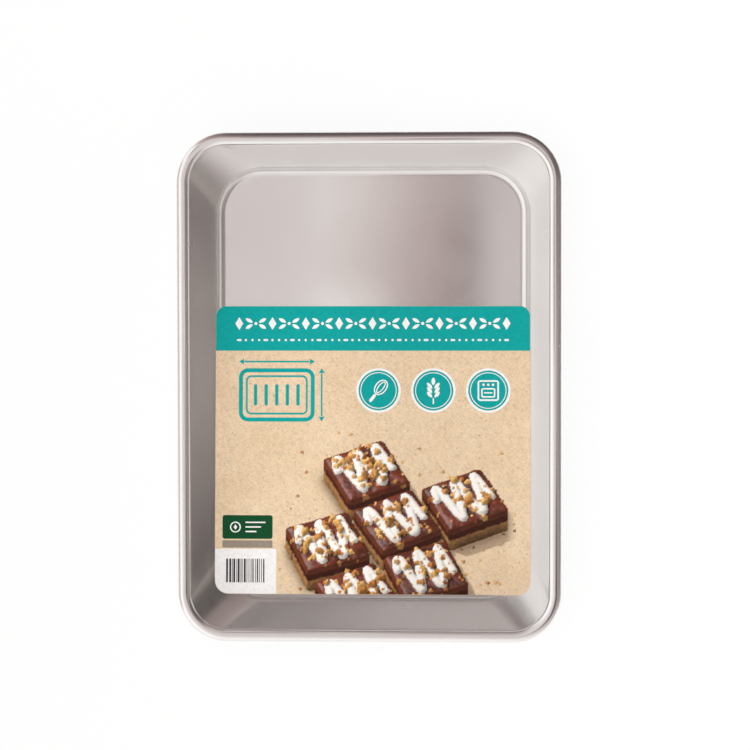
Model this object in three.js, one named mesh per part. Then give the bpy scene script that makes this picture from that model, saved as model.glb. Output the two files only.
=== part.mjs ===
// Oblong cake pan: one drawn aluminium sheet with a rolled rim, a steel wire
// inside the roll, and a loose printed board card lying in the pan.
// Millimetres, +Z up, +Y along the pan. The origin is the middle of the
// underside of the floor, so the pan stands on the plane z = 0.
import * as THREE from "three";

// Pan, outside sizes
const PAN_LENGTH = 325;
const PAN_WIDTH = 245;
const PAN_HEIGHT = 55;
const RIM_CORNER_RADIUS = 32;

// Pan, sheet and section
const SHEET = 1;
const BEAD_DIAMETER = 8.7;
const CURL_GAP = 0.6; // between the curled edge and the back of the wall
const WALL_DRAFT = 13.5; // degrees from upright
const FLOOR_FILLET = 6; // inside radius between wall and floor
const FLOOR_CORNER_RADIUS = 24; // corner of the flat floor, seen from above

// Rim wire
const WIRE_CLEARANCE = 0.3;
const WIRE_END_GAP = 1.5; // between the two butted ends

// Card
const CARD_LENGTH = 189;
const CARD_THICKNESS = 0.6;
const CARD_SIDE_OVERLAP = 0.65; // past the foot of each side wall
const CARD_END_MARGIN = 5.6; // from the foot of the near end wall
const CARD_TOP_RADIUS = 7;
const CARD_BOTTOM_RADIUS = 9;
const CARD_CLEARANCE = 0.3; // between the card and the metal that it rests on

// Fineness of the facets
const CORNER_STEPS = 10;
const FILLET_STEPS = 6;
const CURL_STEPS = 16;
const WIRE_SIDES = 12;
const CARD_CORNER_STEPS = 6;

// Heights and slopes are found by halving an interval this many times
const HALVINGS = 40;

const draft = THREE.MathUtils.degToRad(WALL_DRAFT);

// Section of the sheet
// A station is a place on the middle of the sheet: "out" is its distance from
// the rim's outer edge, negative towards the middle of the pan, "corner" is
// its corner radius in plan, and "turn" is the way the food side faces there.

const curlOuter = BEAD_DIAMETER / 2;
const curlInner = curlOuter - SHEET;
const curlMiddle = (curlOuter + curlInner) / 2;
const curlCentre = { out: -curlOuter, z: PAN_HEIGHT - curlOuter };
const curlTurn = 2 * Math.PI - Math.acos((curlInner - CURL_GAP) / curlOuter);

function curlStation(share) {
  const turn = Math.PI - draft - share * curlTurn;
  const out = curlCentre.out + curlMiddle * Math.cos(turn);
  const z = curlCentre.z + curlMiddle * Math.sin(turn);
  return { out, z, turn, corner: RIM_CORNER_RADIUS + out };
}

const wallTop = curlStation(0);
const filletMiddle = FLOOR_FILLET + SHEET / 2;
const filletZ = SHEET + FLOOR_FILLET;
const wallFootZ = filletZ - filletMiddle * Math.sin(draft);
const wallFootOut = wallTop.out - (wallTop.z - wallFootZ) * Math.tan(draft);
const filletOut = wallFootOut - filletMiddle * Math.cos(draft);

function filletStation(share) {
  const swing = share * (Math.PI / 2 - draft);
  const reach = filletMiddle * Math.sin(swing);
  return {
    out: filletOut + reach,
    z: filletZ - filletMiddle * Math.cos(swing),
    turn: Math.PI / 2 + swing,
    corner: FLOOR_CORNER_RADIUS + reach,
  };
}

function steps(count) {
  return Array.from({ length: count + 1 }, (_, i) => i / count);
}

const stations = [
  ...steps(FILLET_STEPS).map(filletStation),
  ...steps(CURL_STEPS).map(curlStation),
];

// The outline of the sheet at a station, "side" away from its middle
function outlineAt(station, side) {
  const across = side * Math.cos(station.turn);
  const out = station.out + across;
  return {
    halfX: PAN_WIDTH / 2 + out,
    halfY: PAN_LENGTH / 2 + out,
    corner: station.corner + across,
    z: station.z + side * Math.sin(station.turn),
  };
}

const foodSide = stations.map((station) => outlineAt(station, SHEET / 2));
const backSide = stations.map((station) => outlineAt(station, -SHEET / 2));

// Rounded rectangle as points, anticlockwise from above, with the direction
// in which each point faces
function outlinePoints({ halfX, halfY, corner }) {
  const cornerSides = [
    [1, 1],
    [-1, 1],
    [-1, -1],
    [1, -1],
  ];
  return cornerSides.flatMap(([sideX, sideY], quarter) =>
    steps(CORNER_STEPS).map((share) => {
      const facing = ((quarter + share) * Math.PI) / 2;
      return {
        x: sideX * (halfX - corner) + corner * Math.cos(facing),
        y: sideY * (halfY - corner) + corner * Math.sin(facing),
        facing,
      };
    }),
  );
}

// Closed skin through a row of loops, with a flat cap on the first and last.
// The first loop runs anticlockwise when its cap is seen from outside.
function skinThrough(loops) {
  const size = loops[0].length;
  const points = loops.flat();
  const triangles = [];
  for (let row = 0; row + 1 < loops.length; row++) {
    for (let i = 0; i < size; i++) {
      const here = row * size + i;
      const next = row * size + ((i + 1) % size);
      triangles.push(here, here + size, next, next, here + size, next + size);
    }
  }
  for (const [row, flip] of [
    [0, false],
    [loops.length - 1, true],
  ]) {
    const middle = new THREE.Vector3();
    loops[row].forEach((point) => middle.addScaledVector(point, 1 / size));
    const hub = points.push(middle) - 1;
    for (let i = 0; i < size; i++) {
      const here = row * size + i;
      const next = row * size + ((i + 1) % size);
      triangles.push(hub, flip ? next : here, flip ? here : next);
    }
  }
  const geometry = new THREE.BufferGeometry().setFromPoints(points);
  geometry.setIndex(triangles);
  geometry.computeVertexNormals();
  return geometry;
}

// Pan shell: up the food side, round the rolled rim, and back down underneath
function panShell() {
  const loops = [...foodSide, ...backSide.toReversed()].map((outline) =>
    outlinePoints(outline).map(({ x, y }) => new THREE.Vector3(x, y, outline.z)),
  );
  const aluminium = new THREE.MeshStandardMaterial({
    color: 0xc9c0bd,
    roughness: 0.32,
    metalness: 1,
  });
  return named("pan_shell", skinThrough(loops), aluminium);
}

// Rim wire: a round wire bent along the middle of the roll, its ends meeting
// halfway along the near end
function rimWire() {
  const radius = curlInner - WIRE_CLEARANCE;
  const course = outlinePoints({
    halfX: PAN_WIDTH / 2 + curlCentre.out,
    halfY: PAN_LENGTH / 2 + curlCentre.out,
    corner: RIM_CORNER_RADIUS + curlCentre.out,
  });
  const nearEnd = { y: -PAN_LENGTH / 2 - curlCentre.out, facing: -Math.PI / 2 };
  const lastQuarter = course.length - course.length / 4;
  const path = [
    { ...nearEnd, x: WIRE_END_GAP / 2 },
    ...course.slice(lastQuarter),
    ...course.slice(0, lastQuarter),
    { ...nearEnd, x: -WIRE_END_GAP / 2 },
  ];
  const loops = path.map(({ x, y, facing }) =>
    steps(WIRE_SIDES)
      .slice(0, WIRE_SIDES)
      .map((share) => {
        const swing = share * 2 * Math.PI;
        const reach = radius * Math.cos(swing);
        return new THREE.Vector3(
          x + reach * Math.cos(facing),
          y + reach * Math.sin(facing),
          curlCentre.z + radius * Math.sin(swing),
        );
      }),
  );
  const steel = new THREE.MeshStandardMaterial({
    color: 0x9a9c9e,
    roughness: 0.4,
    metalness: 1,
  });
  return named("rim_wire", skinThrough(loops), steel);
}

// Signed distance from a plan point to an outline, negative inside it
function distanceOutside({ halfX, halfY, corner }, x, y) {
  const pastX = Math.abs(x) - (halfX - corner);
  const pastY = Math.abs(y) - (halfY - corner);
  const round = Math.hypot(Math.max(pastX, 0), Math.max(pastY, 0));
  return round + Math.min(Math.max(pastX, pastY), 0) - corner;
}

function between(low, high, share) {
  const mix = (key) => THREE.MathUtils.lerp(low[key], high[key], share);
  return { halfX: mix("halfX"), halfY: mix("halfY"), corner: mix("corner"), z: mix("z") };
}

// Height of the food side of the metal over a plan point
function metalHeight(x, y) {
  const strip = foodSide.findIndex((outline) => distanceOutside(outline, x, y) <= 0);
  if (strip === 0) return foodSide[0].z;
  let low = 0;
  let high = 1;
  for (let i = 0; i < HALVINGS; i++) {
    const share = (low + high) / 2;
    const outline = between(foodSide[strip - 1], foodSide[strip], share);
    if (distanceOutside(outline, x, y) > 0) low = share;
    else high = share;
  }
  return between(foodSide[strip - 1], foodSide[strip], high).z;
}

// Card: a flat board, a little too large for the flat floor, so its sides
// rest on the walls just over their feet and its near corners on the rounded
// corners of the pan
const foot = foodSide[FILLET_STEPS];
const cardWidth = 2 * (foot.halfX + CARD_SIDE_OVERLAP);
const cardFarY = CARD_LENGTH + CARD_END_MARGIN - foot.halfY;

// Outline of the card in its own plane, from the near edge at y = 0
function cardShape() {
  const half = cardWidth / 2;
  const top = CARD_TOP_RADIUS;
  const bottom = CARD_BOTTOM_RADIUS;
  const quarter = Math.PI / 2;
  const shape = new THREE.Shape();
  shape.absarc(half - bottom, bottom, bottom, -quarter, 0);
  shape.absarc(half - top, CARD_LENGTH - top, top, 0, quarter);
  shape.absarc(top - half, CARD_LENGTH - top, top, quarter, 2 * quarter);
  shape.absarc(bottom - half, bottom, bottom, 2 * quarter, 3 * quarter);
  return shape;
}

// Height that the card needs over the metal at a point of its edge, found
// just outside that point so that a clearance is left sideways as well
function neededHeight(x, y) {
  const pastX = Math.sign(x) * CARD_CLEARANCE;
  const pastY = Math.sign(y - cardFarY + CARD_LENGTH / 2) * CARD_CLEARANCE;
  return metalHeight(x + pastX, y + pastY) + CARD_CLEARANCE;
}

// The card's slope: its far half rests on the side walls, and its near end
// is raised until no point of the edge is too low
function cardSeat() {
  const edge = cardShape().extractPoints(CARD_CORNER_STEPS).shape;
  const farEdge = edge.filter(({ y }) => y > CARD_LENGTH / 2);
  const farHeight = Math.max(
    ...farEdge.map(({ x, y }) => neededHeight(x, cardFarY - CARD_LENGTH + y)),
  );
  const clears = (slope) =>
    edge.every(({ x, y }) => {
      const back = CARD_LENGTH - y;
      const planY = cardFarY - back * Math.cos(slope);
      const height = farHeight + back * Math.sin(slope);
      return height >= neededHeight(x, planY);
    });
  let low = 0;
  let high = Math.atan2(PAN_HEIGHT, CARD_LENGTH);
  for (let i = 0; i < HALVINGS; i++) {
    const slope = (low + high) / 2;
    if (clears(slope)) high = slope;
    else low = slope;
  }
  return { slope: high, farHeight };
}

function insertCard() {
  const board = new THREE.ExtrudeGeometry(cardShape(), {
    depth: CARD_THICKNESS,
    bevelEnabled: false,
    curveSegments: CARD_CORNER_STEPS,
  });
  board.translate(0, -CARD_LENGTH, 0);
  const kraft = new THREE.MeshStandardMaterial({
    color: 0xe4cbaa,
    roughness: 0.85,
    metalness: 0,
  });
  const card = named("insert_card", board, kraft);
  const seat = cardSeat();
  card.position.set(0, cardFarY, seat.farHeight);
  card.rotation.x = -seat.slope;
  return card;
}

function named(name, geometry, material) {
  const mesh = new THREE.Mesh(geometry, material);
  mesh.name = name;
  return mesh;
}

const cakePan = new THREE.Group();
cakePan.name = "oblong_cake_pan";
cakePan.add(panShell(), rimWire(), insertCard());

export default cakePan;
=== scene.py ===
# Looks of the oblong cake pan: satin aluminium, a printed board card, stage and camera.
# Sizes are in millimetres here and go to metres when a mesh is made.
import math
import random

import bmesh
import bpy
import numpy as np
from mathutils import Matrix, Vector
from mathutils.geometry import tessellate_polygon


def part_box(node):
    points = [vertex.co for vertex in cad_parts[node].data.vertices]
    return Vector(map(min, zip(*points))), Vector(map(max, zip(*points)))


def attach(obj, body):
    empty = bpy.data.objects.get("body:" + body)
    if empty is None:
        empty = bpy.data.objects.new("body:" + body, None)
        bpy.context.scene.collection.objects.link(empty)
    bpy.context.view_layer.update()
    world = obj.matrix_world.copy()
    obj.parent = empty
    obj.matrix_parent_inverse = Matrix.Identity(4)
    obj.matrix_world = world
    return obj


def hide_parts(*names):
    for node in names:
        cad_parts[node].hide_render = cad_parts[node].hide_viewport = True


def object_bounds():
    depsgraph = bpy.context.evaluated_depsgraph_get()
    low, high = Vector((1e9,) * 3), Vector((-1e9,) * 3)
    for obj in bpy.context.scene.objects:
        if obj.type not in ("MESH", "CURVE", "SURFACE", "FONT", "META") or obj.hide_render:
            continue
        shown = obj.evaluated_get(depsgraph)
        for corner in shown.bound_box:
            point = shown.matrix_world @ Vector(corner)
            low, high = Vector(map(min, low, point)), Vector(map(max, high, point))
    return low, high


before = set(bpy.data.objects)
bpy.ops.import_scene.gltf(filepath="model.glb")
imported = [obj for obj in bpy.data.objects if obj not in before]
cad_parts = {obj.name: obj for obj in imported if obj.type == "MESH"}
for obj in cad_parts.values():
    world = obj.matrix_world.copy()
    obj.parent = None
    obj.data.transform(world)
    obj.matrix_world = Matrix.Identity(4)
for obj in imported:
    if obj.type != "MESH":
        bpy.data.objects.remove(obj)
cad_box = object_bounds()

MM = 0.001

# Pan, as in the part's source
PAN_LENGTH = 325.0
PAN_WIDTH = 245.0
PAN_HEIGHT = 55.0
RIM_CORNER_RADIUS = 32.0
SHEET = 1.0
BEAD_DIAMETER = 8.7
CURL_GAP = 0.6
WALL_DRAFT = math.radians(13.5)
FLOOR_FILLET = 6.0
FLOOR_CORNER_RADIUS = 24.0

# Fineness of the pan's mesh
CORNER_STEPS = 24
SIDE_STEPS = 16
FLOOR_RINGS = 10
FILLET_STEPS = 14
WALL_STEPS = 12
CURL_STEPS = 36

# Card, as in the part's source
CARD_LENGTH = 189.0
CARD_THICKNESS = 0.6
CARD_TOP_RADIUS = 7.0
CARD_BOTTOM_RADIUS = 9.0
CARD_EDGE_BEVEL = 0.12
CARD_CORNER_STEPS = 16

# Print on the card: heights over its underside, each layer a little sunk into the one below
INK = 0.03
INK_SINK = 0.01
PRINT_INSET = 0.15

# Picture on the card: its window, from the middle of the card's far edge
PICTURE_LEFT = -62.0
PICTURE_RIGHT = 94.0
PICTURE_TOP = -80.0
PICTURE_CELL = 0.55
PICTURE_FADE = 6


# Small helpers


def shares(count):
    """Even steps from 0 to 1."""
    return [i / count for i in range(count + 1)]


def between(start, end, share):
    return tuple(low + (high - low) * share for low, high in zip(start, end))


def turned(points, x, y, turn):
    """Flat points, turned about their own origin and then moved to x, y."""
    cos, sin = math.cos(turn), math.sin(turn)
    return [(x + a * cos - b * sin, y + a * sin + b * cos) for a, b in points]


def unit(*parts):
    vector = np.array(parts)
    return vector / np.linalg.norm(vector)


def ring_faces(rows, size):
    """Quads between neighbouring rings, each of that many points."""
    faces = []
    for row in range(rows - 1):
        for i in range(size):
            here = row * size + i
            beside = row * size + (i + 1) % size
            faces.append((here, beside, beside + size, here + size))
    return faces


def srgb(red, green, blue):
    """Linear colour of 8-bit sRGB values, with alpha 1."""
    def linear(level):
        share = level / 255
        if share <= 0.04045:
            return share / 12.92
        return ((share + 0.055) / 1.055) ** 2.4
    return (linear(red), linear(green), linear(blue), 1.0)


def linear_rgb(*level):
    return np.array(srgb(*level)[:3])


def new_object(name, vertices, faces, smooth_angle=40):
    """A mesh object from points in millimetres in the part's frame."""
    mesh = bpy.data.meshes.new(name)
    mesh.from_pydata([Vector(v) * MM for v in vertices], [], faces)
    mesh.validate()
    for polygon in mesh.polygons:
        polygon.use_smooth = True
    mesh.set_sharp_from_angle(angle=math.radians(smooth_angle))
    obj = bpy.data.objects.new(name, mesh)
    bpy.context.scene.collection.objects.link(obj)
    return obj


def face_outwards(obj):
    shape = bmesh.new()
    shape.from_mesh(obj.data)
    bmesh.ops.recalc_face_normals(shape, faces=shape.faces[:])
    shape.to_mesh(obj.data)
    shape.free()


def put_on(obj, body, slot, material, *nodes):
    """Material and body of a piece; the slot argument is not used. The metal doesn't mirror the card's
    pieces.
    """
    obj.data.materials.clear()
    obj.data.materials.append(material)
    obj.visible_glossy = body != "card"
    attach(obj, body)
    if nodes:
        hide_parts(*nodes)


# Node helpers


class Tree:
    """A node tree, with short ways to add nodes and to join them."""

    def __init__(self, tree):
        self.tree = tree

    def link(self, value, socket):
        """Joins an output to a socket, or sets the socket to a plain value."""
        if isinstance(value, bpy.types.NodeSocket):
            self.tree.links.new(value, socket)
        else:
            socket.default_value = value

    def add(self, kind, inputs=None, **settings):
        """New node with its settings, and with what goes into its sockets."""
        node = self.tree.nodes.new("ShaderNode" + kind)
        for key, value in settings.items():
            setattr(node, key, value)
        for key, value in (inputs or {}).items():
            self.link(value, node.inputs[key])
        return node

    def math(self, operation, first, second):
        return self.add("Math", {0: first, 1: second}, operation=operation).outputs[0]

    def clamped(self, value, low, high):
        return self.math("MINIMUM", self.math("MAXIMUM", value, low), high)

    def axes(self, vector):
        return self.add("SeparateXYZ", {0: vector}).outputs

    def ramp(self, value, *stops):
        """Colour ramp: stops are (position, linear colour or grey level)."""
        node = self.add("ValToRGB", {"Fac": value})
        elements = node.color_ramp.elements
        while len(elements) < len(stops):
            elements.new(0.5)
        for element, (position, colour) in zip(elements, stops):
            element.position = position
            if isinstance(colour, (int, float)):
                colour = (colour, colour, colour, 1.0)
            element.color = colour
        return node.outputs["Color"]

    def surface(self, share, first, second):
        """A mix of two shaders as the surface."""
        mixed = self.add("MixShader", {0: share, 1: first, 2: second})
        self.add("OutputMaterial", {"Surface": mixed.outputs[0]})


class Nodes(Tree):
    """A material's node tree with its Principled shader."""

    def __init__(self, name):
        self.material = bpy.data.materials.new(name)
        self.material.use_nodes = True
        super().__init__(self.material.node_tree)
        self.shader = self.tree.nodes["Principled BSDF"]
        self.place = self.add("TexCoord").outputs["Object"]

    def set(self, name, value):
        self.link(value, self.shader.inputs[name])

    def stretched(self, scale, turn=0.0):
        """Object coordinates, turned about Z and then scaled for each axis."""
        rotated = self.add("Mapping", {"Vector": self.place, "Rotation": (0, 0, turn)})
        scaled = self.add("Mapping", {"Vector": rotated.outputs["Vector"], "Scale": scale})
        return scaled.outputs["Vector"]

    def noise(self, scale, detail, place=None, roughness=0.55, distortion=0.0):
        inputs = {
            "Vector": place or self.place,
            "Scale": scale,
            "Detail": detail,
            "Roughness": roughness,
            "Distortion": distortion,
        }
        return self.add("TexNoise", inputs).outputs["Fac"]

    def mix(self, share, low, high, blend="MIX"):
        """Mix of two colours, each a socket or a colour; share is a socket or a number."""
        node = self.add("Mix", data_type="RGBA", blend_type=blend)
        for name, value in (("Factor", share), ("A", low), ("B", high)):
            kind = "VALUE" if name == "Factor" else "RGBA"
            socket = next(s for s in node.inputs if s.name == name and s.type == kind)
            self.link(value, socket)
        return next(s for s in node.outputs if s.type == "RGBA")

    def upward(self):
        """Upward part of the surface's normal: 1 where it lies level, 0 where it stands."""
        return self.axes(self.add("NewGeometry").outputs["Normal"])["Z"]

    def height(self, full):
        """Height as a share of the full height, which is in millimetres."""
        return self.math("MULTIPLY", self.axes(self.place)["Z"], 1 / MM / full)

    def bump(self, height, strength, distance, under=None):
        """Normals of a relief, whose depth is in millimetres, over another one if there is one."""
        inputs = {"Height": height, "Strength": strength, "Distance": distance * MM}
        if under is not None:
            inputs["Normal"] = under
        return self.add("Bump", inputs).outputs["Normal"]


def bare_material(name):
    """A material with an empty tree, and the tree."""
    material = bpy.data.materials.new(name)
    material.use_nodes = True
    material.node_tree.nodes.clear()
    return material, Tree(material.node_tree)


# Materials


def aluminium_sheet():
    """Uncoated sheet: faint rolling grain and scratches, satin slopes, a matt bend round the floor."""
    nodes = Nodes("aluminium_sheet")
    nodes.set("Metallic", 0.96)
    mottling = nodes.noise(14, detail=4)
    tint = nodes.ramp(mottling, (0.3, srgb(240, 239, 238)), (0.7, srgb(245, 244, 243)))
    rolled = nodes.stretched((2600, 90, 2600))
    grain = nodes.noise(1, detail=5, place=rolled, roughness=0.7)
    streaks = nodes.ramp(grain, (0.3, 0.96), (0.7, 1.0))
    nodes.set("Base Color", nodes.mix(1.0, tint, streaks, "MULTIPLY"))
    haze = nodes.noise(38, detail=5, roughness=0.6, distortion=0.6)
    smooth = nodes.ramp(haze, (0.25, 0.16), (0.75, 0.22))
    satin = nodes.ramp(haze, (0.25, 0.22), (0.75, 0.28))
    matt = (0.34, 0.34, 0.34, 1)
    drawn = nodes.ramp(nodes.upward(), (0.9, 1.0), (0.985, 0.0))
    low = nodes.ramp(nodes.height(PAN_HEIGHT), (0.1, 1.0), (0.15, 0.0))
    bend = nodes.mix(1.0, drawn, low, "MULTIPLY")
    nodes.set("Roughness", nodes.mix(bend, nodes.mix(drawn, smooth, satin), matt))
    scratched = nodes.stretched((900, 40, 900), turn=0.06)
    scratches = nodes.noise(1, detail=2, place=scratched)
    fine = nodes.bump(grain, strength=0.04, distance=0.02)
    nodes.set("Normal", nodes.bump(scratches, strength=0.03, distance=0.04, under=fine))
    return nodes.material


def steel_wire():
    """Drawn wire with fine draw marks and a little tarnish."""
    nodes = Nodes("steel_wire")
    nodes.set("Metallic", 1.0)
    tarnish = nodes.noise(60, detail=4)
    tint = nodes.ramp(tarnish, (0.35, srgb(168, 168, 170)), (0.65, srgb(204, 205, 206)))
    nodes.set("Base Color", tint)
    marks = nodes.noise(700, detail=4)
    nodes.set("Roughness", nodes.ramp(marks, (0.3, 0.3), (0.7, 0.5)))
    return nodes.material


def kraft_colour(nodes):
    """Kraft board: pulp clouds, fine pale and dark fibres, and a few brown specks."""
    clouds = nodes.noise(45, detail=4)
    colour = nodes.ramp(clouds, (0.3, srgb(231, 205, 169)), (0.7, srgb(239, 216, 183)))
    for turn, thin, long in ((0.5, 1500, 260), (-0.7, 1300, 230), (1.5, 1700, 300)):
        fibres = nodes.noise(1, detail=2, place=nodes.stretched((thin, long, thin), turn))
        shade = nodes.ramp(fibres, (0.28, 0.82), (0.45, 0.98), (0.7, 1.06))
        colour = nodes.mix(0.8, colour, shade, "MULTIPLY")
    specks = nodes.noise(620, detail=1)
    mask = nodes.ramp(specks, (0.7, 0.0), (0.76, 0.6))
    return nodes.mix(mask, colour, srgb(150, 112, 74))


def kraft_surface(nodes):
    grain = nodes.noise(900, detail=4)
    nodes.set("Normal", nodes.bump(grain, strength=0.25, distance=0.05))
    pores = nodes.noise(300, detail=2)
    nodes.set("Roughness", nodes.ramp(pores, (0.3, 0.78), (0.7, 0.9)))
    nodes.set("Specular IOR Level", 0.3)


def kraft_board():
    nodes = Nodes("kraft_board")
    nodes.set("Base Color", kraft_colour(nodes))
    kraft_surface(nodes)
    return nodes.material


def picture_print():
    """The painted picture over the bare board, by the mesh's own colours and their alpha."""
    nodes = Nodes("picture_print")
    paint = nodes.add("VertexColor", layer_name="paint")
    screen = nodes.noise(1300, detail=2)
    speckle = nodes.ramp(screen, (0.3, 0.93), (0.7, 1.03))
    inked = nodes.mix(1.0, paint.outputs["Color"], speckle, "MULTIPLY")
    nodes.set("Base Color", nodes.mix(paint.outputs["Alpha"], kraft_colour(nodes), inked))
    kraft_surface(nodes)
    return nodes.material


def ink(name, level):
    """Flat ink on board: the board's fibres show through as a slight mottling."""
    nodes = Nodes(name)
    paler = tuple(min(255, part * 1.03 + 1) for part in level)
    darker = tuple(part * 0.96 for part in level)
    mottling = nodes.noise(420, detail=4)
    nodes.set("Base Color", nodes.ramp(mottling, (0.3, srgb(*darker)), (0.7, srgb(*paler))))
    gloss = nodes.noise(160, detail=3)
    nodes.set("Roughness", nodes.ramp(gloss, (0.3, 0.5), (0.7, 0.66)))
    nodes.set("Specular IOR Level", 0.12)
    return nodes.material


# Pan: one section of the sheet, as stations, each with a rounded rectangle for its outline


def pan_stations():
    """Stations from the floor's edge up the wall and round the curl: out, z, corner, turn."""
    curl_outer = BEAD_DIAMETER / 2
    curl_inner = curl_outer - SHEET
    curl_middle = (curl_outer + curl_inner) / 2
    curl_z = PAN_HEIGHT - curl_outer
    curl_turn = 2 * math.pi - math.acos((curl_inner - CURL_GAP) / curl_outer)

    def curl(share):
        turn = math.pi - WALL_DRAFT - share * curl_turn
        out = -curl_outer + curl_middle * math.cos(turn)
        return (out, curl_z + curl_middle * math.sin(turn), RIM_CORNER_RADIUS + out, turn)

    top = curl(0)
    top_out, top_z = top[:2]
    fillet_middle = FLOOR_FILLET + SHEET / 2
    fillet_z = SHEET + FLOOR_FILLET
    foot_z = fillet_z - fillet_middle * math.sin(WALL_DRAFT)
    foot_out = top_out - (top_z - foot_z) * math.tan(WALL_DRAFT)
    fillet_out = foot_out - fillet_middle * math.cos(WALL_DRAFT)

    def fillet(share):
        swing = share * (math.pi / 2 - WALL_DRAFT)
        reach = fillet_middle * math.sin(swing)
        z = fillet_z - fillet_middle * math.cos(swing)
        return (fillet_out + reach, z, FLOOR_CORNER_RADIUS + reach, math.pi / 2 + swing)

    foot = fillet(1)
    wall = [between(foot, top, share) for share in shares(WALL_STEPS)[1:-1]]
    return [fillet(s) for s in shares(FILLET_STEPS)] + wall + [curl(s) for s in shares(CURL_STEPS)]


def rounded_loop(half_x, half_y, corner):
    """Rounded rectangle, anticlockwise from above, with points along its straight sides too."""
    corners = [(1, 1), (-1, 1), (-1, -1), (1, -1)]

    def on_corner(quarter, share):
        side_x, side_y = corners[quarter % 4]
        facing = (quarter + share) * math.pi / 2
        x = side_x * (half_x - corner) + corner * math.cos(facing)
        y = side_y * (half_y - corner) + corner * math.sin(facing)
        return (x, y)

    points = []
    for quarter in range(4):
        points += [on_corner(quarter, share) for share in shares(CORNER_STEPS)]
        start = points[-1]
        end = on_corner(quarter + 1, 0)
        points += [between(start, end, share) for share in shares(SIDE_STEPS)[1:-1]]
    return points


def sheet_loops(side):
    """Loops of one face of the sheet, side away from its middle, from the floor to the curl's edge."""
    loops = []
    for out, z, corner, turn in pan_stations():
        across = side * math.cos(turn)
        half_x = PAN_WIDTH / 2 + out + across
        half_y = PAN_LENGTH / 2 + out + across
        height = z + side * math.sin(turn)
        loops.append([(x, y, height) for x, y in rounded_loop(half_x, half_y, corner + across)])
    edge = loops[0]
    floor = [
        [(x * share, y * share, z) for x, y, z in edge]
        for share in shares(FLOOR_RINGS)[1:-1]
    ]
    return floor + loops


def skin(loops):
    """Closed skin through a row of loops; the first and last end in a fan to their middle."""
    size = len(loops[0])
    vertices = [point for loop in loops for point in loop]
    faces = ring_faces(len(loops), size)
    for row in (0, len(loops) - 1):
        hub = len(vertices)
        vertices.append(tuple(sum(axis) / size for axis in zip(*loops[row])))
        for i in range(size):
            faces.append((hub, row * size + i, row * size + (i + 1) % size))
    return vertices, faces


def within_cad(vertices):
    """The finer facets stay inside the solid's own box."""
    low, high = (corner / MM for corner in cad_box)
    return [tuple(min(max(p, a), b) for p, a, b in zip(point, low, high)) for point in vertices]


def make_pan():
    loops = sheet_loops(SHEET / 2) + sheet_loops(-SHEET / 2)[::-1]
    vertices, faces = skin(loops)
    pan = new_object("pan_sheet", within_cad(vertices), faces, smooth_angle=50)
    face_outwards(pan)
    put_on(pan, "pan", "aluminium_sheet", aluminium_sheet(), "pan_shell")


def finish_wire():
    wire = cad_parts["rim_wire"]
    wire.data.materials.clear()
    wire.data.materials.append(steel_wire())


# Card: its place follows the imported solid's box


def card_seat():
    """Matrix from the card's own plane, far edge at y = 0, to the part's frame."""
    low, high = (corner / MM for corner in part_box("insert_card"))
    rise = high.z - low.z
    slope = 0.0
    for _ in range(20):
        slope = math.asin((rise - CARD_THICKNESS * math.cos(slope)) / CARD_LENGTH)
    far_y = high.y - CARD_THICKNESS * math.sin(slope)
    return Matrix.Translation((0, far_y, low.z)) @ Matrix.Rotation(-slope, 4, "X")


card_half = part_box("insert_card")[1].x / MM
seat = card_seat()


def rounded(left, bottom, right, top, radii, steps=10):
    """Rectangle with its own radius at each corner, from the lower left one anticlockwise."""
    corners = [(left, bottom, 1, 1), (right, bottom, -1, 1), (right, top, -1, -1), (left, top, 1, -1)]
    points = []
    for quarter, ((x, y, in_x, in_y), radius) in enumerate(zip(corners, radii)):
        if radius <= 0:
            points.append((x, y))
            continue
        centre_x, centre_y = x + in_x * radius, y + in_y * radius
        for share in shares(steps):
            facing = (quarter + 2 + share) * math.pi / 2
            points.append((centre_x + radius * math.cos(facing), centre_y + radius * math.sin(facing)))
    return points


def card_outline(inset):
    half = card_half - inset
    radii = [CARD_BOTTOM_RADIUS - inset] * 2 + [CARD_TOP_RADIUS - inset] * 2
    return rounded(-half, inset - CARD_LENGTH, half, -inset, radii, CARD_CORNER_STEPS)


def make_board():
    levels = [
        (CARD_EDGE_BEVEL, 0.0),
        (0.0, CARD_EDGE_BEVEL),
        (0.0, CARD_THICKNESS - CARD_EDGE_BEVEL),
        (CARD_EDGE_BEVEL, CARD_THICKNESS),
    ]
    vertices = [seat @ Vector((x, y, z)) for inset, z in levels for x, y in card_outline(inset)]
    size = len(vertices) // len(levels)
    faces = [tuple(range(size)), tuple(range(len(vertices) - size, len(vertices)))]
    faces += ring_faces(len(levels), size)
    board = new_object("card_board", vertices, faces, smooth_angle=30)
    face_outwards(board)
    put_on(board, "card", "kraft_board", kraft_board(), "insert_card")


# Print: flat closed plates of ink


def plates(name, shapes, layer, material):
    """One piece of thin plates. A shape is an outline, followed by the outlines of its holes."""
    high = CARD_THICKNESS + layer * INK
    low = high - INK - INK_SINK
    vertices = []
    faces = []
    for shape in shapes:
        outline = [point for loop in shape for point in loop]
        size = len(outline)
        start = len(vertices)
        for z in (low, high):
            vertices += [seat @ Vector((x, y, z)) for x, y in outline]
        flat = [[Vector((x, y, 0)) for x, y in loop] for loop in shape]
        for triangle in tessellate_polygon(flat):
            faces.append(tuple(start + i for i in triangle))
            faces.append(tuple(start + size + i for i in reversed(triangle)))
        first = start
        for loop in shape:
            for i in range(len(loop)):
                here = first + i
                beside = first + (i + 1) % len(loop)
                faces.append((here, beside, beside + size, here + size))
            first += len(loop)
    piece = new_object(name, vertices, faces, smooth_angle=25)
    face_outwards(piece)
    put_on(piece, "card", "kraft_board", material)


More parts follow.
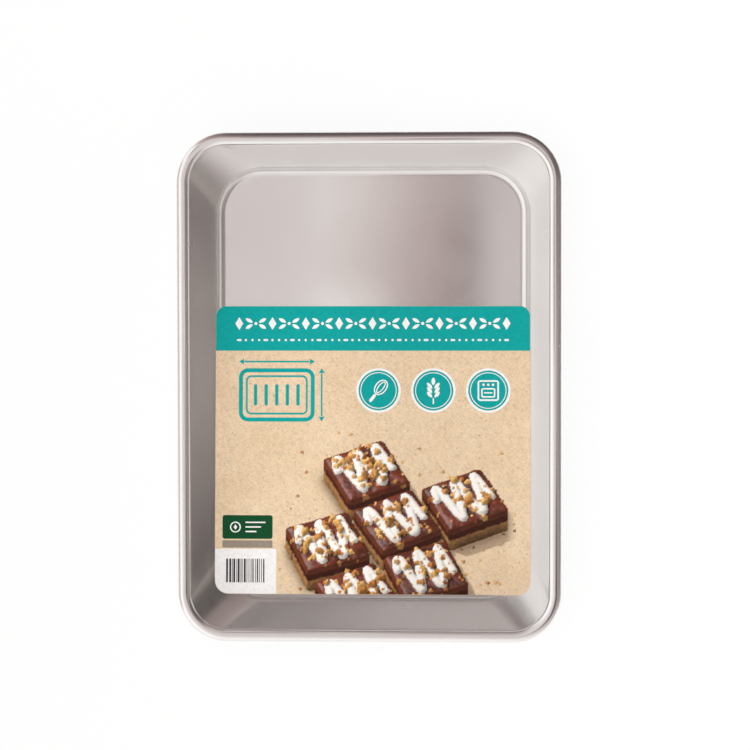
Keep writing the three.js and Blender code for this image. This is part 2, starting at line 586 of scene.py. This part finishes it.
def disc(x, y, radius, steps):
    turns = [2 * math.pi * i / steps for i in range(steps)]
    return [(x + radius * math.cos(t), y + radius * math.sin(t)) for t in turns]


def ring(x, y, outer, inner, steps):
    return [disc(x, y, outer, steps), disc(x, y, inner, steps)[::-1]]


def ellipse(x, y, long, wide, turn, steps=40):
    turns = [2 * math.pi * i / steps for i in range(steps)]
    return turned([(long * math.cos(t), wide * math.sin(t)) for t in turns], x, y, turn)


def leaf(x, y, length, width, turn, steps=9):
    """Pointed leaf from its foot at x, y."""
    sides = []
    for side in (1, -1):
        row = [(length * s, side * width / 2 * math.sin(math.pi * s) ** 0.8) for s in shares(steps)]
        sides += row if side > 0 else row[-2:0:-1]
    return turned(sides[::-1], x, y, turn)


def bar(x0, y0, x1, y1, width, steps=6):
    """Straight stroke with round ends."""
    turn = math.atan2(y1 - y0, x1 - x0)
    points = []
    for x, y, start in ((x1, y1, turn - math.pi / 2), (x0, y0, turn + math.pi / 2)):
        for share in shares(steps):
            t = start + share * math.pi
            points.append((x + width / 2 * math.cos(t), y + width / 2 * math.sin(t)))
    return points


def diamond(x, y, half_x, half_y):
    return [(x + half_x, y), (x, y + half_y), (x - half_x, y), (x, y - half_y)]


def arrow_head(x, y, turn, size):
    return turned([(0, 0), (-size, 0.6 * size), (-size, -0.6 * size)], x, y, turn)


def frame_shape(left, bottom, right, top, radius, width):
    outer = rounded(left, bottom, right, top, [radius] * 4)
    inner = rounded(left + width, bottom + width, right - width, top - width, [radius - width] * 4)
    return [outer, inner[::-1]]


# Header band along the far edge: its depth, and the rows of its ornament

BAND = 29.4
LEAF_ROW = -11.5
LEAF_PITCH = 22.0
DOT_ROW = -22.4
DOT_PITCH = 4.4


def band_shape():
    half = card_half - PRINT_INSET
    radius = CARD_TOP_RADIUS - PRINT_INSET
    return [rounded(-half, -BAND, half, -PRINT_INSET, [0, 0, radius, radius], CARD_CORNER_STEPS)]


def leaf_cluster(x):
    """A dot with four leaves round it."""
    shapes = [[disc(x, LEAF_ROW, 1.0, 20)]]
    for side in (1, -1):
        lean = math.pi / 2 - side * 1.05
        for up in (1, -1):
            shapes.append([leaf(x + side * 2.0, LEAF_ROW + up * 0.6, 5.6, 2.3, up * lean)])
    return shapes


def band_ornament():
    """White row of diamonds between leaf pairs, over a row of dots and short dashes."""
    shapes = []
    for i in range(-4, 5):
        x = i * LEAF_PITCH
        shapes.append([diamond(x, LEAF_ROW, 2.6, 4.2)])
        if i < 4:
            shapes += leaf_cluster(x + LEAF_PITCH / 2)
    for i in range(-20, 21):
        x = i * DOT_PITCH
        dot = disc(x, DOT_ROW, 0.75, 16)
        dash = bar(x - 0.9, DOT_ROW, x + 0.9, DOT_ROW, 1.3)
        shapes.append([dot if i % 4 else dash])
    return shapes


# Pan drawing, at the left under the band

DRAWING_LEFT, DRAWING_RIGHT = -88.0, -38.0
DRAWING_BOTTOM, DRAWING_TOP = -76.0, -41.0
DRAWING_WALL = 4.6
ARROW = 3.2
ARROW_LINE = 1.1


def pan_drawing():
    """Two frames with ribs in the inner one, and an arrow along two of the sides."""
    left, right, bottom, top = DRAWING_LEFT, DRAWING_RIGHT, DRAWING_BOTTOM, DRAWING_TOP
    inner = (left + DRAWING_WALL, bottom + DRAWING_WALL, right - DRAWING_WALL, top - DRAWING_WALL)
    over = top + 4.4
    beside = right + 4.6
    shapes = [
        frame_shape(left, bottom, right, top, 6.0, 2.6),
        frame_shape(*inner, 3.6, 1.2),
        [bar(left + 4, over, right - 4, over, ARROW_LINE)],
        [bar(beside, bottom + 4, beside, top - 4, ARROW_LINE)],
        [arrow_head(left, over, math.pi, ARROW)],
        [arrow_head(right, over, 0, ARROW)],
        [arrow_head(beside, top, math.pi / 2, ARROW)],
        [arrow_head(beside, bottom, -math.pi / 2, ARROW)],
    ]
    for i in range(5):
        x = left + 11 + 7 * i
        shapes.append([bar(x, bottom + 11.5, x, top - 11.5, 2.2)])
    return shapes


# Round badges, at the right under the band: radii of the white disc, the ink and the thin ring

BADGES = [(4.0, -55.5), (40.0, -55.5), (76.0, -55.5)]
BADGE_RADIUS = 14.6
BADGE_INK_RADIUS = BADGE_RADIUS - 1.5
BADGE_RING_OUTER = BADGE_RADIUS - 2.7
BADGE_RING_INNER = BADGE_RADIUS - 3.2
BADGE_STEPS = 72


def badge_discs(radius):
    return [[disc(x, y, radius, BADGE_STEPS)] for x, y in BADGES]


def badge_rings():
    return [ring(x, y, BADGE_RING_OUTER, BADGE_RING_INNER, BADGE_STEPS) for x, y in BADGES]


def whisk(x, y):
    turn = math.radians(52)
    cos, sin = math.cos(turn), math.sin(turn)
    shapes = []
    for long, wide, width in ((5.6, 3.9, 0.75), (4.5, 1.9, 0.65)):
        outer = ellipse(x + 2.6 * cos, y + 2.6 * sin, long, wide, turn)
        inner = ellipse(x + 2.6 * cos, y + 2.6 * sin, long - width, wide - width, turn)
        shapes.append([outer, inner[::-1]])
    shapes.append([bar(x - 4.2 * cos, y - 4.2 * sin, x - 8.4 * cos, y - 8.4 * sin, 2.0)])
    return shapes


def wheat_ear(x, y):
    shapes = [[leaf(x, y + 3.4, 5.2, 2.5, math.pi / 2)], [bar(x, y - 8.6, x, y - 5.4, 0.9)]]
    for i in range(3):
        foot = y - 4.6 + 2.9 * i
        for side in (1, -1):
            shapes.append([leaf(x + side * 0.75, foot, 5.2, 2.3, math.pi / 2 - side * 0.72)])
    return shapes


def oven(x, y):
    shapes = [frame_shape(x - 7.0, y - 6.8, x + 7.0, y + 6.8, 1.8, 1.1)]
    shapes.append(frame_shape(x - 4.6, y - 4.6, x + 4.6, y + 1.6, 1.2, 0.9))
    shapes.append([bar(x - 2.4, y - 1.5, x + 2.4, y - 1.5, 0.8)])
    for i in (-1, 0, 1):
        shapes.append([disc(x + 3.1 * i, y + 3.8, 0.8, 20)])
    return shapes


def badge_icons():
    return whisk(*BADGES[0]) + wheat_ear(*BADGES[1]) + oven(*BADGES[2])


# Lower left: white panel with made-up bars, a grey strip and a green block

PANEL_RIGHT, PANEL_TOP = -63.0, -159.5
PANEL_CORNER = 0.6
BARS_LEFT, BARS_RIGHT = -96.0, -71.0
BARS_BOTTOM, BARS_TOP = -181.5, -166.0
BLOCK_LEFT, BLOCK_RIGHT = -98.5, -65.5
BLOCK_MARK = (-90.0, -145.3)


def bar_panel():
    half = card_half - PRINT_INSET
    bottom = PRINT_INSET - CARD_LENGTH
    radius = CARD_BOTTOM_RADIUS - PRINT_INSET
    return [rounded(-half, bottom, PANEL_RIGHT, PANEL_TOP, [radius] + [PANEL_CORNER] * 3)]


def panel_bars():
    """Bars of made-up widths, with nothing to read in them."""
    draw = random.Random(11)
    shapes = []
    x = BARS_LEFT
    while x < BARS_RIGHT:
        width = draw.choice((0.45, 0.45, 0.8, 1.2))
        shapes.append([rounded(x, BARS_BOTTOM, x + width, BARS_TOP, [0] * 4)])
        x += width + draw.choice((0.4, 0.6, 0.9))
    return shapes


def green_block():
    return [rounded(BLOCK_LEFT, -153.0, BLOCK_RIGHT, -137.5, [1.6] * 4)]


def grey_strip():
    return [rounded(BLOCK_LEFT, -158.8, BLOCK_RIGHT, -154.0, [0.3] * 4)]


def block_ornament():
    shapes = [ring(*BLOCK_MARK, 3.6, 2.8, 32), [diamond(*BLOCK_MARK, 1.2, 1.8)]]
    for i in range(3):
        y = -142.2 - 3.0 * i
        shapes.append([bar(-83.0, y, -70.5 - 3.0 * i, y, 0.9)])
    return shapes


def make_print():
    teal = ink("teal_ink", (4, 166, 163))
    white = ink("white_ink", (250, 250, 248))
    green = ink("green_ink", (12, 76, 42))
    grey = ink("grey_ink", (152, 141, 128))
    black = ink("black_ink", (44, 42, 42))
    plates("print_band", [band_shape()], 1, teal)
    plates("print_band_ornament", band_ornament(), 2, white)
    plates("print_pan_drawing", pan_drawing(), 1, teal)
    plates("print_badge_discs", badge_discs(BADGE_RADIUS), 1, white)
    plates("print_badge_inks", badge_discs(BADGE_INK_RADIUS), 2, teal)
    plates("print_badge_icons", badge_rings() + badge_icons(), 3, white)
    plates("print_panel", [bar_panel()], 1, white)
    plates("print_panel_bars", panel_bars(), 2, black)
    plates("print_green_block", [green_block()], 1, green)
    plates("print_grey_strip", [grey_strip()], 1, grey)
    plates("print_block_ornament", block_ornament(), 2, white)


# Picture: squares of iced tray bake with crumbs, painted from a height field seen at a slant

LOOK_DOWN = math.radians(46)
LIGHT = unit(-0.52, 0.30, 0.80)
BAKE_HEIGHT = 19.0
BAKE_SIZE = 44.0
BAKE_GAP = 5.5
BAKE_CORNER = 3
BAKE_TURN = math.radians(24)
BAKE_MIDDLE = (16, 50)
TOPPING = 6
CRUMB_REACH = 3
FIELD_CELL = 0.4
FIELD_LEFT, FIELD_RIGHT = -90.0, 125.0
FIELD_NEAR, FIELD_FAR = -40.0, 185.0
TABLES = 6
TABLE_SIZE = 64
RAY_STEP = 0.2
SHADOW_STEP = 0.8
SHADOW_REACH = 34


class Field:
    """Heights and colours of the painted scene on a flat grid, with smooth noise for it."""

    def __init__(self, seed):
        self.random = np.random.default_rng(seed)
        self.columns = int((FIELD_RIGHT - FIELD_LEFT) / FIELD_CELL)
        self.rows = int((FIELD_FAR - FIELD_NEAR) / FIELD_CELL)
        x = FIELD_LEFT + FIELD_CELL * np.arange(self.columns)
        y = FIELD_NEAR + FIELD_CELL * np.arange(self.rows)
        self.x, self.y = np.meshgrid(x, y)
        self.height = np.zeros_like(self.x)
        self.colour = np.zeros(self.x.shape + (3,))
        self.shine = np.zeros_like(self.x)
        self.cover = np.zeros_like(self.x)
        self.tables = self.random.random((TABLES, TABLE_SIZE, TABLE_SIZE))

    def noise(self, x, y, size, table):
        """Smooth noise from 0 to 1 with features of that size."""
        u, v = x / size, y / size
        i, j = np.floor(u).astype(int), np.floor(v).astype(int)
        u, v = u - i, v - j
        u, v = u * u * (3 - 2 * u), v * v * (3 - 2 * v)
        next_i, next_j = (i + 1) % TABLE_SIZE, (j + 1) % TABLE_SIZE
        i, j = i % TABLE_SIZE, j % TABLE_SIZE
        values = self.tables[table]
        low = values[i, j] * (1 - u) + values[next_i, j] * u
        high = values[i, next_j] * (1 - u) + values[next_i, next_j] * u
        return low * (1 - v) + high * v

    def cloud(self, x, y, size, table):
        total = 0
        for octave, weight in enumerate((0.5, 0.3, 0.2)):
            total = total + weight * self.noise(x, y, size / 2 ** octave, (table + octave) % TABLES)
        return total

    def paint(self, mask, colour, shine, window=slice(None)):
        """Colour, shine and cover of the places in the mask."""
        self.colour[window] = np.where(mask[..., None], colour, self.colour[window])
        self.shine[window] = np.where(mask, shine, self.shine[window])
        self.cover[window] = np.where(mask, 1.0, self.cover[window])

    def at(self, values, x, y):
        column = np.clip(np.rint((x - FIELD_LEFT) / FIELD_CELL).astype(int), 0, self.columns - 1)
        row = np.clip(np.rint((y - FIELD_NEAR) / FIELD_CELL).astype(int), 0, self.rows - 1)
        return values[row, column]


def add_bake(field, centre, turn):
    """One square: raised with a soft upper edge, a crackled dark top and an icing zigzag."""
    cos, sin = math.cos(turn), math.sin(turn)
    along = (field.x - centre[0]) * cos + (field.y - centre[1]) * sin
    across = (field.y - centre[1]) * cos - (field.x - centre[0]) * sin
    half = BAKE_SIZE / 2
    ragged = 0.9 * (field.cloud(field.x, field.y, 6, 0) - 0.5)
    past_x, past_y = np.abs(along) - half + BAKE_CORNER, np.abs(across) - half + BAKE_CORNER
    outside = np.hypot(np.maximum(past_x, 0), np.maximum(past_y, 0))
    outside = outside + np.minimum(np.maximum(past_x, past_y), 0) - BAKE_CORNER + ragged
    inside = np.clip(-outside, 0, None)
    crackle = field.cloud(field.x, field.y, 7, 2)
    rise = BAKE_HEIGHT - 2.6 * np.exp(-inside / 1.5) + 1.5 * (crackle - 0.5)
    mask = outside < 0
    field.height = np.where(mask, rise, field.height)
    dark, red, pale = linear_rgb(70, 28, 18), linear_rgb(122, 52, 32), linear_rgb(158, 86, 52)
    blend = np.clip((crackle - 0.3) / 0.4, 0, 1)[..., None]
    edge = np.exp(-inside / 1.8)[..., None]
    top = dark * (1 - blend) + red * blend
    top = top * (1 - 0.55 * edge) + pale * 0.55 * edge
    field.paint(mask, top, 0.35)
    add_icing(field, along, across, mask)


def zigzag(half):
    """Points of a wavy line across a square, in the square's own axes."""
    reach = half - 4.5
    points = []
    for share in shares(44):
        a = -reach + 2 * reach * share
        b = reach * 0.92 * math.sin(share * 5 * math.pi + 0.4)
        points.append((a + 1.2 * math.sin(share * 17), b))
    return points


def add_icing(field, along, across, mask):
    """Round bead of icing along the zigzag, on the square in the mask."""
    near = np.full_like(along, 99.0)
    points = zigzag(BAKE_SIZE / 2)
    rows, columns = np.where(mask)
    window = (slice(rows.min(), rows.max() + 1), slice(columns.min(), columns.max() + 1))
    a, b = along[window], across[window]
    best = near[window]
    for (x0, y0), (x1, y1) in zip(points, points[1:]):
        dx, dy = x1 - x0, y1 - y0
        share = np.clip(((a - x0) * dx + (b - y0) * dy) / (dx * dx + dy * dy), 0, 1)
        best = np.minimum(best, np.hypot(a - x0 - share * dx, b - y0 - share * dy))
    near[window] = best
    width = 2.1 + 1.3 * field.cloud(field.x, field.y, 9, 3)
    bead = np.clip(1 - (near / width) ** 2, 0, None)
    iced = mask & (bead > 0)
    field.height = np.where(iced, field.height + 2.2 * np.sqrt(bead), field.height)
    field.paint(iced, linear_rgb(250, 245, 236), 0.18)


def add_crumbs(field, count, centres, spread, on_top):
    """Golden crumbs, each an uneven bump set on whatever is under it."""
    golden, brown = linear_rgb(248, 200, 120), linear_rgb(190, 116, 52)
    size = int(2 * CRUMB_REACH / FIELD_CELL)
    for _ in range(count):
        x0, y0 = centres[field.random.integers(len(centres))]
        x0 = x0 + field.random.normal(0, spread)
        y0 = y0 + field.random.normal(0, spread)
        radius = 0.6 + 1.9 * field.random.random() ** 2 if on_top else field.random.uniform(0.4, 1.2)
        mix = field.random.random()
        lean = field.random.uniform(0, 2 * math.pi, 3)
        left = int((x0 - CRUMB_REACH - FIELD_LEFT) / FIELD_CELL)
        low = int((y0 - CRUMB_REACH - FIELD_NEAR) / FIELD_CELL)
        if left < 0 or low < 0 or left + size >= field.columns or low + size >= field.rows:
            continue
        window = (slice(low, low + size), slice(left, left + size))
        x, y = field.x[window], field.y[window]
        under = field.height[window]
        base = under[size // 2, size // 2]
        if (base > BAKE_HEIGHT / 2) != on_top:
            continue
        facing = np.arctan2(y - y0, x - x0)
        uneven = 1 + 0.24 * np.cos(3 * facing + lean[0]) + 0.16 * np.cos(5 * facing + lean[1])
        bump = 1 - (np.hypot(x - x0, y - y0) / (radius * uneven)) ** 2
        mask = bump > 0
        slant = 0.35 * ((x - x0) * math.cos(lean[2]) + (y - y0) * math.sin(lean[2]))
        rough = 0.5 * field.cloud(x * 2.3 + x0, y * 2.3, 1.6, 4)
        lump = base + radius * np.clip(1.7 * bump, 0, 1) ** 0.6 * (0.75 + rough)
        lump = lump + np.clip(slant, -0.4, 0.4)
        field.height[window] = np.where(mask, np.maximum(lump, under), under)
        field.paint(mask, golden * (1 - mix) + brown * mix, 0.1, window)


def blurred(values, reach):
    """Box blur along both axes, twice."""
    span = 2 * reach + 1
    for _ in range(2):
        for axis in (0, 1):
            margins = [(reach + 1, reach) if a == axis else (0, 0) for a in (0, 1)]
            total = np.cumsum(np.pad(values, margins, mode="edge"), axis=axis)
            high = np.take(total, range(span, total.shape[axis]), axis=axis)
            low = np.take(total, range(0, total.shape[axis] - span), axis=axis)
            values = (high - low) / span
    return values


def bake_field():
    """Six squares in a slanting lattice, the near ones running off the card's edge."""
    field = Field(5)
    pitch = BAKE_SIZE + BAKE_GAP
    centres = []
    for column, row in ((0, 1), (1, 0), (0, 0), (-1, 0), (0, -1), (-1, -1)):
        a = column * pitch + field.random.uniform(-1.3, 1.3)
        b = row * pitch + field.random.uniform(-1.3, 1.3)
        centres += turned([(a, b)], *BAKE_MIDDLE, BAKE_TURN)
        add_bake(field, centres[-1], BAKE_TURN + field.random.uniform(-0.07, 0.07))
    add_crumbs(field, 420, centres, 11.0, True)
    add_crumbs(field, 300, centres, 27.0, False)
    return field


def paint_picture(x, v):
    """Colour and alpha of the picture at card places x across and v up from its foot."""
    field = bake_field()
    sin, cos = math.sin(LOOK_DOWN), math.cos(LOOK_DOWN)
    hit = np.zeros_like(x)
    found = np.zeros(x.shape, bool)
    for z in np.arange(BAKE_HEIGHT + TOPPING, -0.01, -RAY_STEP):
        y = (v - z * cos) / sin
        reached = ~found & (field.at(field.height, x, y) >= z)
        hit = np.where(reached, z, hit)
        found |= reached
    y = (v - hit * cos) / sin
    slope_y, slope_x = np.gradient(blurred(field.height, 1), FIELD_CELL)
    nx, ny = -field.at(slope_x, x, y), -field.at(slope_y, x, y)
    length = np.sqrt(nx * nx + ny * ny + 1)

    def towards(direction):
        """Cosine of the angle between the surface's normal and a direction."""
        return np.clip((nx * direction[0] + ny * direction[1] + direction[2]) / length, 0, 1)

    facing = towards(LIGHT)
    mirror = towards(unit(LIGHT[0], LIGHT[1] - cos, LIGHT[2] + sin)) ** 26
    lit = np.ones_like(x)
    for step in np.arange(SHADOW_STEP, SHADOW_REACH, SHADOW_STEP):
        over = field.at(field.height, x + LIGHT[0] * step, y + LIGHT[1] * step)
        over = over - (hit + LIGHT[2] * step) - 0.3
        lit = np.minimum(lit, np.clip(1 - over / (0.25 + 0.12 * step), 0, 1))
    hollow = field.at(blurred(field.height, 12), x, y) - hit
    open_sky = np.clip(1 - 0.085 * np.clip(hollow, 0, None), 0.3, 1)
    return shaded(field, x, y, hit, facing, mirror, lit, open_sky)


def shaded(field, x, y, hit, facing, mirror, lit, open_sky):
    """Colour and alpha where the look meets the field at x, y and the height hit."""
    colour = field.at(field.colour, x, y)
    level = field.at(field.height, x, y)
    side = (level > 8) & (hit < level - 2.2)
    crumb = field.cloud(x * 1.7, hit * 1.7 + y, 2.2, 1)[..., None]
    golden = linear_rgb(206, 150, 92) * (0.55 + 0.9 * crumb)
    fudge = linear_rgb(96, 42, 26) * (0.5 + 1.0 * crumb)
    layer = np.clip((hit - 8.5 - 2.5 * (crumb[..., 0] - 0.5)) / 1.2, 0, 1)[..., None]
    colour = np.where(side[..., None], golden * (1 - layer) + fudge * layer, colour)
    glint = field.at(field.shine, x, y) * ~side
    glow = (0.34 * open_sky + 0.86 * facing * lit)[..., None]
    painted = colour * glow + (glint * mirror * lit)[..., None] * 0.5
    covered = field.at(field.cover, x, y) > 0.5
    dim = 1 - open_sky * (0.45 + 0.55 * lit)
    shadow = linear_rgb(86, 56, 34)
    colour = np.where(covered[..., None], np.clip(painted, 0, 1), shadow)
    alpha = np.where(covered, 1.0, np.clip(0.9 * dim, 0, 0.7))
    return colour, alpha


def make_picture():
    """Thin closed panel on the board, its upper face a fine grid that carries the paint."""
    foot = PRINT_INSET - CARD_LENGTH
    columns = int((PICTURE_RIGHT - PICTURE_LEFT) / PICTURE_CELL) + 1
    rows = int((PICTURE_TOP - foot) / PICTURE_CELL) + 1
    across = np.linspace(PICTURE_LEFT, PICTURE_RIGHT, columns)
    x, y = np.meshgrid(across, np.linspace(foot, PICTURE_TOP, rows))
    colour, alpha = paint_picture(x, y - foot)
    fade = np.ones_like(x)
    for margin in (PICTURE_TOP - y, x - PICTURE_LEFT, PICTURE_RIGHT - x):
        fade = fade * np.clip(margin / PICTURE_FADE, 0, 1)
    alpha = np.where(alpha < 0.99, alpha * fade, alpha)
    high = CARD_THICKNESS + INK
    low = CARD_THICKNESS - INK_SINK
    flat = list(zip(x.ravel(), y.ravel()))
    vertices = [seat @ Vector((a, b, high)) for a, b in flat]
    faces = []
    for row in range(rows - 1):
        for column in range(columns - 1):
            here = row * columns + column
            faces.append((here, here + 1, here + columns + 1, here + columns))
    rim = list(range(columns))
    rim += [row * columns + columns - 1 for row in range(1, rows)]
    rim += [(rows - 1) * columns + i for i in range(columns - 2, -1, -1)]
    rim += [row * columns for row in range(rows - 2, 0, -1)]
    start = len(vertices)
    vertices += [seat @ Vector((*flat[i], low)) for i in rim]
    for i, top in enumerate(rim):
        j = (i + 1) % len(rim)
        faces.append((top, start + i, start + j, rim[j]))
    faces.append(tuple(start + i for i in reversed(range(len(rim)))))
    picture = new_object("print_picture", vertices, faces, smooth_angle=25)
    paint = picture.data.color_attributes.new("paint", "FLOAT_COLOR", "POINT")
    values = np.zeros((len(vertices), 4), np.float32)
    values[:start, :3] = colour.reshape(-1, 3)
    values[:start, 3] = alpha.ravel()
    paint.data.foreach_set("color", values.ravel())
    put_on(picture, "card", "kraft_board", picture_print())


# Stage and light

SQUARE = ((-1, -1), (1, -1), (1, 1), (-1, 1))
FLOOR_REACH = 6000
FLOOR_Z = -0.2
FLOOR_GLOW = (("Is Camera Ray", 0.9), ("Is Glossy Ray", 0.3), ("Is Transmission Ray", 0.9))

# Room: its even light, what its sides add or take away, and the tints from dim to bright
ROOM_LEVEL = 0.69
ROOM_DIMMEST = 0.08
ROOM_BRIGHTEST = 1.2
LEFT_START = 0.2
LEFT_RISE = 1.6
LEFT_GLOW = 0.5
NEAR_GLOW = 0.45
RIGHT_DIM = 0.45
FAR_DIM = 0.05
FAR_RIGHT_DIM = 1.9
ROOM_TINTS = ((0.3, (1.0, 0.86, 0.78, 1)), (0.7, (1.0, 0.91, 0.9, 1)), (1.0, (1.0, 0.97, 0.955, 1)))


def make_floor():
    """Pale floor: white to the camera and in reflections, with a faint shadow kept."""
    corners = [(i * FLOOR_REACH, j * FLOOR_REACH, FLOOR_Z) for i, j in SQUARE]
    floor = new_object("floor", corners, [(0, 1, 2, 3)])
    material, tree = bare_material("floor_white")
    diffuse = tree.add("BsdfDiffuse", {"Color": (0.95, 0.95, 0.95, 1)})
    glow = tree.add("Emission", {"Color": (1, 1, 1, 1)})
    path = tree.add("LightPath")
    seen = 0
    for kind, share in FLOOR_GLOW:
        seen = tree.math("MAXIMUM", seen, tree.math("MULTIPLY", path.outputs[kind], share))
    tree.surface(seen, diffuse.outputs[0], glow.outputs[0])
    floor.data.materials.append(material)


def make_world():
    """Soft room light: brighter on the left and near sides, dimmer towards the right and far ones."""
    world = bpy.data.worlds.new("room")
    bpy.context.scene.world = world
    world.use_nodes = True
    tree = Tree(world.node_tree)
    direction = tree.add("TexCoord").outputs["Generated"]
    x, y, _ = tree.axes(direction)
    left = tree.math("MAXIMUM", tree.math("MULTIPLY", x, -1), 0)
    near = tree.math("MAXIMUM", tree.math("MULTIPLY", y, -1), 0)
    right = tree.math("MAXIMUM", x, 0)
    far = tree.math("MAXIMUM", y, 0)
    aside = tree.math("MULTIPLY", tree.math("SUBTRACT", left, LEFT_START), LEFT_RISE)
    beside = tree.math("MULTIPLY", tree.clamped(aside, 0, 1), LEFT_GLOW)
    before = tree.math("MULTIPLY", tree.math("POWER", near, 2), NEAR_GLOW)
    glow = tree.math("ADD", beside, before)
    dim = tree.math("ADD", tree.math("MULTIPLY", right, RIGHT_DIM), tree.math("MULTIPLY", far, FAR_DIM))
    corner = tree.math("MULTIPLY", tree.math("MULTIPLY", right, far), FAR_RIGHT_DIM)
    dim = tree.math("ADD", dim, corner)
    level = tree.math("SUBTRACT", tree.math("ADD", glow, ROOM_LEVEL), dim)
    level = tree.clamped(level, ROOM_DIMMEST, ROOM_BRIGHTEST)
    background = world.node_tree.nodes["Background"]
    tree.link(level, background.inputs["Strength"])
    tree.link(tree.ramp(level, *ROOM_TINTS), background.inputs["Color"])


def lamp(name, place, width, height, energy):
    """Soft lamp, in metres, aimed at the pan. Metal shows the room instead of it."""
    light = bpy.data.lights.new(name, "AREA")
    light.shape = "RECTANGLE"
    light.size = width
    light.size_y = height
    light.energy = energy
    source = bpy.data.objects.new(name, light)
    bpy.context.scene.collection.objects.link(source)
    source.location = place
    aim = Vector((0, 0, 0.03)) - source.location
    source.rotation_euler = aim.to_track_quat("-Z", "Y").to_euler()
    source.visible_camera = False
    source.visible_glossy = False


def make_lights():
    lamp("key", (-0.1, 0, 0.9), 0.5, 0.5, 2.8)
    lamp("strip", (1.0, 0.1, 0.3), 1.0, 0.16, 8.5)


# Flags: sheets that only the metal's reflections show

CEILING = 1000
FLAG_FOOT = 0.5
FLAG_STEPS = 24
MANY_BOUNCES = 9


def even(value):
    """The same value at every place."""
    return lambda *place: value


def warm(bright):
    """Colour of a flag: the dimmer, the warmer."""
    green = min(max(0.89 - 0.4 * (0.7 - bright), 0.77), 0.95)
    return (bright, bright * green, bright * (green - 0.03))


def flag(name, corners, level, cover=even(1), bounces=MANY_BOUNCES):
    """Four-cornered sheet with its brightness and cover at each place.

    A reflection of a reflection shows it only up to that number of bounces.
    """
    first, second, third, fourth = (np.array(corner, float) for corner in corners)
    vertices = []
    for v in shares(FLAG_STEPS):
        for u in shares(FLAG_STEPS):
            near, far = first + (second - first) * u, fourth + (third - fourth) * u
            vertices.append(near + (far - near) * v)
    row = FLAG_STEPS + 1
    faces = [(i, i + 1, i + row + 1, i + row) for i in range(row * FLAG_STEPS) if i % row < FLAG_STEPS]
    sheet = new_object(name, vertices, faces)
    glow = sheet.data.color_attributes.new("glow", "FLOAT_COLOR", "POINT")
    for value, place in zip(glow.data, vertices):
        value.color = (*warm(float(level(*place))), cover(*place))
    material, tree = bare_material(name)
    colour = tree.add("VertexColor", layer_name="glow")
    emission = tree.add("Emission", {"Color": colour.outputs["Color"]})
    clear = tree.add("BsdfTransparent")
    depth = tree.add("LightPath").outputs["Glossy Depth"]
    early = tree.math("LESS_THAN", depth, bounces + 0.5)
    shown = tree.math("MULTIPLY", early, colour.outputs["Alpha"])
    tree.surface(shown, clear.outputs[0], emission.outputs[0])
    sheet.data.materials.append(material)
    sheet.visible_camera = False
    sheet.visible_diffuse = False
    sheet.visible_shadow = False
    sheet.visible_transmission = False


def level_flag(name, left, near, right, far, z, level):
    corners = [(left, near, z), (right, near, z), (right, far, z), (left, far, z)]
    flag(name, corners, level, bounces=1)


def upright_flag(name, start, end, height, level):
    flag(name, [(*start, FLAG_FOOT), (*end, FLAG_FOOT), (*end, height), (*start, height)], level)


def ceiling_patch(name, x, y, wide, deep, level):
    """Dim oval patch of the ceiling that fades out towards its edge."""

    def cover(px, py, pz):
        outward = ((px - x) / wide) ** 2 + ((py - y) / deep) ** 2
        return min(max(1 - outward, 0) / 0.6, 1)

    corners = [(x + i * wide, y + j * deep, CEILING) for i, j in SQUARE]
    flag(name, corners, even(level), cover)


def stand(x, y, z):
    """Camera stand: dimmer to the right, a little brighter far off, with its near left end lit."""
    across = np.interp(x, [-68, -18, 24, 56, 71], [0.8, 0.6, 0.46, 0.31, 0.15])
    lit_end = 0.3 * np.interp(x, [-20, 0], [1, 0]) * np.interp(y, [50, 70], [1, 0])
    return across * np.interp(y, [40, 90, 150], [0.92, 1.0, 1.15]) + lit_end


def far_side(x, y, z):
    """Dark low down, brighter higher up and towards its left end."""
    dark = np.interp(z, [80, 118, 180, 340], [0.07, 0.15, 0.31, 0.5])
    return dark + np.interp(x, [-190, -90], [0.5, 0])


def right_side(x, y, z):
    """Dim, but for its near end."""
    return 0.22 + np.interp(y, [-200, -120], [0.5, 0])


def make_flags():
    """What the metal mirrors: the camera stand, dim parts of the ceiling, low screens round the pan."""
    level_flag("stand_flag", -68, 10, 71, 160, 300, stand)
    ceiling_patch("left_wall_patch", 650, 250, 320, 240, 0.12)
    ceiling_patch("left_corners_patch", 560, -420, 400, 310, 0.02)
    ceiling_patch("near_wall_patch", -480, 700, 480, 240, 0.02)
    ceiling_patch("near_corner_patch", 380, 560, 260, 210, 0.15)
    upright_flag("far_screen", (-190, 240), (225, 240), 340, far_side)
    upright_flag("right_screen", (225, -200), (225, 240), 60, right_side)
    upright_flag("left_screen", (-240, -200), (-240, 200), 85, even(0.6))


# Camera: its place in metres, a slight tilt in radians and the shift that frames the pan

CAMERA_PLACE = (0.07424, 0.06193, 1.205)
CAMERA_TILT_X = -0.0282
CAMERA_TILT_Y = 0.0420
CAMERA_SHIFT_X = -0.0455
CAMERA_SHIFT_Y = -0.0443
CAMERA_LENS = 87.35
CAMERA_SENSOR = 36.0


def make_camera():
    data = bpy.data.cameras.new("camera")
    data.lens = CAMERA_LENS
    data.sensor_width = CAMERA_SENSOR
    data.shift_x = CAMERA_SHIFT_X
    data.shift_y = CAMERA_SHIFT_Y
    camera = bpy.data.objects.new("camera", data)
    bpy.context.scene.collection.objects.link(camera)
    camera.location = CAMERA_PLACE
    tilt = Matrix.Rotation(CAMERA_TILT_X, 3, "X") @ Matrix.Rotation(CAMERA_TILT_Y, 3, "Y")
    camera.rotation_euler = tilt.to_euler()
    bpy.context.scene.camera = camera


make_pan()
finish_wire()
make_board()
make_print()
make_picture()
make_floor()
make_world()
make_lights()
make_flags()
make_camera()

bpy.context.scene.view_settings.view_transform = "Standard"
